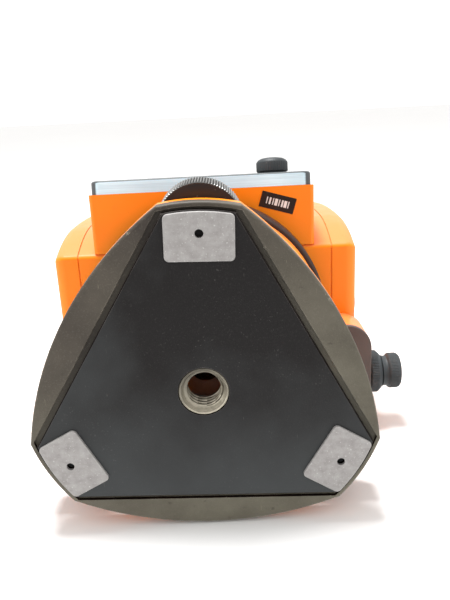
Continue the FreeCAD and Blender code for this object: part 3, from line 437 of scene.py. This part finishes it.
# Painted shade: darker metal for the bushing thread's grooves.
thread_groove_shade = turned_metal("thread_groove_shade", tone(0x3F392F), tone(0x6A6251), 0.45, 0.3, metal=0.5)
knurl_metal = turned_metal("knurl_metal", tone(0x5A5A5A), tone(0xA5A5A3), 0.3, 0.35)
knob_face = moulded("knob_face", tone(0x1B1A1C), tone(0x232225), 0.5, 900, 0.00005)
brown_paint = moulded("brown_paint", tone(0x2E211E), tone(0x3B2C27), 0.45, 900, 0.00005)
brown_cover = moulded("brown_cover", tone(0x4A4240), tone(0x5A504B), 0.5, 900, 0.00005)
panel = moulded("panel_foil", tone(0x2C3033), tone(0x363B3E), 0.42, 2100, 0.00002)
key_rubber = moulded("key_rubber", tone(0xB7B6B1), tone(0xC8C7C3), 0.6, 1500)
print_white = moulded("white_print", tone(0xD8D8D6), tone(0xECECEA), 0.6, 1500, 0.00001)
pads = cast_grey("pad_metal", tone(0x8F8B89), tone(0xA5A2A0), 0.1, 0.55)
clear = glass("clear_glass", (0.86, 0.93, 0.91, 1))
coated = glass("coated_lens", (0.3, 0.2, 0.45, 1), 0.02, 0.75)

by_node = {
    "base_casting": casting(), "base_cover_plate": cover_plate_paint(), "foot_pads": pads,
    "tripod_bushing": bushing_metal,
    "axis_bush": bronze, "foot_screw_sleeves": bronze, "horizontal_circle": clear, "vertical_circle": clear,
    "axis_spindle": steel, "cover_screws": steel_side, "handle_screws": steel_side,
    "trunnion_axles": steel_side,
    "trunnion_bearings": steel_side, "lower_ring": brown_paint, "drive_housing_cover": brown_cover,
    "panel_bezel": bezel_paint(), "panel_plate": panel, "lcd_window": screen(), "display_board": circuit(),
    "asset_label": sticker(), "objective_lens": coated,
    "plate_level_vial": vial("plate_vial", "plate_level_vial", (0.0075, 0.0028),
                             (("line", 0.0085, 0.0003), ("line", 0.0105, 0.0003))),
    "circular_level_vial": vial("round_vial", "circular_level_vial", (0.0026, 0.0026),
                                (("ring", 0.0036, 0.0003),)),
}
for name in ("alidade_base", "left_standard", "right_standard", "drive_housing", "telescope_body", "handle"):
    by_node[name] = cast_orange
# The tribrach's underside gets near black painted shade, as seen up the bore.
by_node["tribrach_body"] = orange_paint("tribrach_enamel", 1300, 0.36, 0.00006,
                                        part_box("tribrach_body")[0].z + 0.02)
for name in ("display_box", "left_side_cover", "right_side_cover", "battery_pack", "plummet_housing"):
    by_node[name] = moulded_orange
for name, o in nodes.items():
    if name.startswith("key_"):
        by_node[name] = key_rubber
    if name.startswith("foot_screw_") and name != "foot_screw_sleeves":
        by_node[name] = steel
    if name.startswith("foot_knob_"):
        by_node[name] = knurl_metal
    look = by_node.get(name, black_grip)
    for slot in o.material_slots:
        slot.material = look.material


# ---- turned and knurled pieces ----
def turned(name, origin, axis, profile, looks, segments=96, teeth=0, hollow=False, helix=None, groove=None):
    """A lathe-turned piece. The profile's points are (radius, distance along the axis, depth of its
    knurl, look),
    in mm, and a point's look covers the strip up to the next point. A hollow profile is closed on itself.
    helix = (pitch, depth, first, last) cuts a thread into the points from first to last.
    groove is the look of a knurl's or a thread's grooves."""
    per_tooth = 4
    count = teeth * per_tooth if teeth else segments
    shape = bmesh.new()
    rings = []
    for i, (radius, along, depth, _) in enumerate(profile):
        if radius == 0:
            rings.append([shape.verts.new((0, 0, along * MM))] * count)
            continue
        ring = []
        for k in range(count):
            a = TURN * k / count
            valley = 1 - abs(k % per_tooth - per_tooth / 2) / (per_tooth / 2)
            r = radius - depth * valley if teeth else radius
            if helix and helix[2] <= i <= helix[3]:
                phase = (along / helix[0] + k / count) % 1
                r += helix[1] * (1 - abs(2 * phase - 1) * 1.15 if abs(2 * phase - 1) < 0.87 else 0)
            ring.append(shape.verts.new((r * MM * math.cos(a), r * MM * math.sin(a), along * MM)))
        rings.append(ring)
    last = len(rings) if hollow else len(rings) - 1
    for i in range(last):
        low, high = rings[i], rings[(i + 1) % len(rings)]
        for k in range(count):
            corners = [low[k], low[(k + 1) % count], high[(k + 1) % count], high[k]]
            corners = list(dict.fromkeys(corners))
            if len(corners) > 2:
                face = shape.faces.new(corners)
                cut = teeth and profile[i][2] > 0.3 and k % per_tooth in (1, 2)
                if helix and helix[2] <= i < helix[3]:
                    cut = abs(2 * ((profile[i][1] / helix[0] + (k + 0.5) / count) % 1) - 1) < 0.5
                face.material_index = groove if cut and groove is not None else profile[i][3]
                face.smooth = True
    bmesh.ops.recalc_face_normals(shape, faces=shape.faces)
    mesh = bpy.data.meshes.new(name)
    shape.to_mesh(mesh)
    shape.free()
    turn = Vector((0, 0, 1)).rotation_difference(Vector(axis)).to_matrix().to_4x4()
    mesh.transform(Matrix.Translation(Vector(origin) * MM) @ turn)
    for look in looks:
        mesh.materials.append(look.material)
    mesh.set_sharp_from_angle(angle=math.radians(32))
    piece = bpy.data.objects.new(name, mesh)
    scene.collection.objects.link(piece)
    return piece


def middle_of(node):
    low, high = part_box(node)
    return (low + high) / 2 / MM


def rode(piece, body, slot, *stands_for):
    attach(piece, body)
    if stands_for:
        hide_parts(*stands_for)
    return piece


# Foot screws' knobs: a straight knurl round a plain brown face that is set in by its rim.
for corner in ("front", "right", "left"):
    low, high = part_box("foot_knob_" + corner)
    x, y, _ = middle_of("foot_knob_" + corner)
    z0, z1, r = low.z / MM, high.z / MM, (high.x - low.x) / 2 / MM + KNOB_OVERSIZE
    screw_r = FOOT_SCREW_R
    profile = [
        (screw_r, z0 + 0.5, 0, 1), (6.2, z0 + 0.5, 0, 1), (6.8, z0 + 0.2, 0, 1), (r - 1.0, z0 + 0.2, 0,
                1), (r - 0.75, z0, 0, 1),
        (r - 0.5, z0 + 0.05, 0.2, 0), (r - 0.1, z0 + 0.3, 0.6, 0), (r, z0 + 0.8, 0.7, 0), (r, z1 - 0.9, 0.7,
                0), (r - 0.15, z1 - 0.5, 0.5, 0),
        (r - 0.7, z1, 0.1, 0), (r - 1.8, z1, 0, 0), (r - 2.4, z1 - 0.5, 0, 0), (8.4, z1 - 0.5, 0, 0), (7.8,
                z1, 0, 0), (screw_r, z1, 0, 0),
    ]
    knob = turned(f"foot_knob_{corner}_knurled", (x, y, 0), (0, 0, 1), profile,
                  (knurl_metal, knob_face, groove_metal), teeth=96,
                  hollow=True, groove=2)
    rode(knob, corner + "_foot", "knurled_metal", "foot_knob_" + corner)

# Tripod bushing: the thread runs down the bore behind a turned mouth; its grooves are darker metal as painted
# shade.
low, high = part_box("tripod_bushing")
z0, z1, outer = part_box("base_cover_plate")[0].z / MM + 0.25, high.z / MM, (high.x - low.x) / 2 / MM - 0.05
crest, pitch, thread_depth, mouth = THREAD_CREST_R, THREAD_PITCH, THREAD_DEPTH, 1.9
steps_per_turn = 12
relief = THREAD_END
turns = (relief - z0 - mouth - 0.15) / pitch
bore = [(crest, z0 + mouth + 0.15 + pitch / steps_per_turn * k, 0,
         0) for k in range(int(turns * steps_per_turn))]
profile = [(outer, z1, 0, 0), (outer, z0 + 0.25, 0, 0), (outer - 0.25, z0, 0, 0), (outer - 0.9, z0, 0, 0),
           (outer - 1.0, z0 + 0.25, 0, 0),
           (crest + 1.1, z0 + mouth, 0, 0)] + bore + [(crest, relief, 0, 0), (RELIEF_R, relief + 0.2, 0, 0),
                                                      (RELIEF_R, z1, 0, 0)]
bushing = turned("tripod_bushing_threaded", (0, 0, 0), (0, 0, 1), profile, (bushing_metal, thread_groove_shade),
                 segments=120, hollow=True, groove=1,
                 helix=(pitch, thread_depth, 6, 5 + len(bore)))
rode(bushing, "base", "bushing_metal", "tripod_bushing")

# Drives: a knurled clamp ring, and in front of it a knob on a waisted neck.
shaft_r, hub_r = 3.05, 5.0
for drive, ring_width, knob_width in (("horizontal", 6.4, 6.6), ("vertical", 5.0, 4.0)):
    low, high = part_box(drive + "_clamp_ring")
    _, y, z = middle_of(drive + "_clamp_ring")
    x0, x1, xa, r = high.x / MM - ring_width, high.x / MM, low.x / MM, (high.z - low.z) / 2 / MM
    profile = [
        (shaft_r, xa, 0, 0), (hub_r, xa, 0, 0), (hub_r, x0, 0, 0), (r - 0.9, x0, 0.1, 0), (r, x0 + 0.6, 0.4,
                0), (r, x1 - 2.2, 0.4, 0),
        (r - 0.35, x1 - 1.8, 0.15, 0), (r - 1.7, x1 - 0.35, 0, 0), (r - 2.3, x1, 0, 0), (shaft_r, x1, 0, 0),
    ]
    ring = turned(f"{drive}_clamp_ring_knurled", (0, y, z), (1, 0, 0), profile, (black_grip,), teeth=80,
                  hollow=True)
    rode(ring, drive + "_clamp", "black_plastic", drive + "_clamp_ring")
    low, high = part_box(drive + "_tangent_knob")
    x1, xa, r = high.x / MM, low.x / MM, (high.z - low.z) / 2 / MM
    shoulder = x1 - knob_width
    neck = shoulder - DRIVE_NECK
    profile = [
        (0, xa, 0, 0), (3.0, xa, 0, 0), (3.0, neck, 0, 0), (r - 1.5, neck, 0, 0), (r - 1.1, neck + 0.3, 0,
                0), (r - 1.45, neck + 1.5, 0, 0),
        (r - 1.3, shoulder - 0.6, 0, 0), (r - 0.35, shoulder + 0.4, 0, 0), (r - 0.45, shoulder + 0.55, 0,
                0), (r - 0.05, shoulder + 0.75, 0.1, 0),
        (r, shoulder + 1.0, 0.3, 0), (r, x1 - 2.0, 0.3, 0), (r - 0.35, x1 - 1.1, 0.15, 0), (r - 1.1,
                x1 - 0.35, 0, 0), (r - 2.2, x1, 0, 0),
        (r - 3.6, x1, 0, 0), (r - 3.9, x1 - 0.25, 0, 0), (0, x1 - 0.25, 0, 0),
    ]
    knob = turned(f"{drive}_tangent_knob_knurled", (0, y, z), (1, 0, 0), profile, (black_grip,), teeth=72)
    rode(knob, drive + "_tangent", "black_plastic", drive + "_tangent_knob")


# The keyboard's knob: a fluted cap with a bevelled crown, a little way off the panel on a slimmer neck.
lean = math.radians(PANEL_LEAN)
dial_axis = Vector((0, -math.cos(lean), math.sin(lean)))
corners = [v.co / MM for v in nodes["panel_knob"].data.vertices]
along = [dial_axis.dot(c) for c in corners]
dial_r = (max(c.x for c in corners) - min(c.x for c in corners)) / 2
dial_middle = sum((Vector((c.x, c.y, c.z)) for c in corners), Vector()) / len(corners)
crown, tail = max(along), min(along)
foot_of_axis = dial_middle - dial_axis * dial_axis.dot(dial_middle)
profile = [
    (0, tail, 0, 0), (3.0, tail, 0, 0), (3.0, crown - DIAL_HEIGHT, 0, 0), (dial_r - 1.3,
            crown - DIAL_HEIGHT, 0, 0), (dial_r - 1.1, crown - 7.3, 0, 0),
    (dial_r - 0.2, crown - 7.0, 0, 0), (dial_r, crown - 6.7, 0.25, 0), (dial_r, crown - 2.6, 0.25,
            0), (dial_r - 0.15, crown - 2.2, 0.1, 0),
    (dial_r - 1.0, crown - 1.1, 0, 0), (dial_r - 2.4, crown - 0.35, 0, 0), (dial_r - 4.4, crown, 0, 0), (0,
            crown, 0, 0),
]
dial = turned("panel_knob_fluted", foot_of_axis, dial_axis, profile, (black_grip,), teeth=40)
rode(dial, "dial", "black_plastic", "panel_knob")


def plates(name, outlines, frame_matrix, depth, look):
    """Thin printed or moulded marks: each outline is a list of (u, v) points in mm, raised by depth along the
    frame's third axis."""
    shape = bmesh.new()
    for outline in outlines:
        rings = [[shape.verts.new(frame_matrix @ Vector((u * MM, v * MM, w * MM))) for u,
                  v in outline] for w in (0, depth)]
        n = len(outline)
        for k in range(n):
            shape.faces.new((rings[0][k], rings[0][(k + 1) % n], rings[1][(k + 1) % n], rings[1][k]))
        shape.faces.new(rings[1])
        shape.faces.new(rings[0][::-1])
    bmesh.ops.recalc_face_normals(shape, faces=shape.faces)
    mesh = bpy.data.meshes.new(name)
    shape.to_mesh(mesh)
    shape.free()
    mesh.materials.append(look.material)
    piece = bpy.data.objects.new(name, mesh)
    scene.collection.objects.link(piece)
    return piece


def bar(u, v, width, height, corner=0.0, steps=4):
    """A rectangle with rounded corners, as (u, v) points round (u, v)."""
    points = []
    for quarter, (su, sv) in enumerate(((1, 1), (-1, 1), (-1, -1), (1, -1))):
        cu, cv = u + su * (width / 2 - corner), v + sv * (height / 2 - corner)
        for k in range(steps + 1 if corner else 1):
            a = TURN / 4 * (quarter + k / steps)
            points.append((cu + corner * math.cos(a), cv + corner * math.sin(a)))
    return points


# The sticker under the display box carries plain bars.
low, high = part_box("asset_label")
label_turn, label_middle = math.radians(LABEL_TURN), (low + high) / 2
label_frame = Matrix.Translation((label_middle.x, label_middle.y, low.z)) @ Matrix.Rotation(label_turn, 4,
        "Z") @ Matrix.Rotation(math.pi, 4, "X")
widths = (0.55, 0.9, 0.55, 1.5, 0.55, 0.9, 1.5, 0.55)
step = 1.6
bars = [bar((k - (len(widths) - 1) / 2) * step, 0, w, 3.5, 0.12) for k, w in enumerate(widths)]
rode(plates("label_bars", bars, label_frame, 0.05, print_white), "alidade", "label_black")

# ---- stage ----
floor_y = cad_box[1].y + FLOOR_GAP * MM
half = 6.0
mesh = bpy.data.meshes.new("floor")
floor_corners = [(-half, floor_y, -half), (half, floor_y, -half), (half, floor_y, half),
                 (-half, floor_y, half)]
mesh.from_pydata(floor_corners, [], [(0, 1, 2, 3)])
floor = bpy.data.objects.new("floor", mesh)
scene.collection.objects.link(floor)
floor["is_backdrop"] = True
paper = Look("paper", Specular_IOR_Level=0.1)
tint = paper.mix(paper.noise(3, 3), (0.87, 0.865, 0.86, 1), (0.89, 0.885, 0.88, 1))
paper.set(Base_Color=tint, Roughness=paper.band(paper.noise(700, 3), 0.3, 0.7, 0.8, 0.95))
clear_side = paper.node("ShaderNodeBsdfTransparent")
seen_from_behind = paper.node("ShaderNodeNewGeometry").outputs["Backfacing"]
swap = paper.node("ShaderNodeMixShader", {0: seen_from_behind, 1: paper.shader.outputs[0],
                                          2: clear_side.outputs[0]})
paper.tree.links.new(swap.outputs[0], paper.out.inputs["Surface"])
floor.data.materials.append(paper.material)
floor.visible_glossy = False

world = bpy.data.worlds.new("world")
world.use_nodes = True
scene.world = world
# The room is pale all round, and darker low down, on the side that the base faces.
sky = world.node_tree
background = sky.nodes["Background"]
direction = sky.nodes.new("ShaderNodeTexCoord")
split = sky.nodes.new("ShaderNodeSeparateXYZ")
fade = sky.nodes.new("ShaderNodeMapRange")
sky.links.new(direction.outputs["Generated"], split.inputs[0])
sky.links.new(split.outputs["Z"], fade.inputs["Value"])
for socket, value in (("From Min", -0.97), ("From Max", -0.74), ("To Min", 0.3), ("To Max", 1.14)):
    fade.inputs[socket].default_value = value
sky.links.new(fade.outputs[0], background.inputs["Strength"])
background.inputs["Color"].default_value = (1.0, 0.995, 0.985, 1)

key_data = bpy.data.lights.new("key", "AREA")
key_data.shape = "DISK"
key_data.size = 0.36
key_data.energy = 21.0
key = bpy.data.objects.new("key", key_data)
scene.collection.objects.link(key)
key.location = (-0.12, -1.15, 0.16)
key.rotation_mode = "QUATERNION"
key.rotation_quaternion = (Vector((0, 0, 0.1)) - key.location).to_track_quat("-Z", "Y")

low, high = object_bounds()
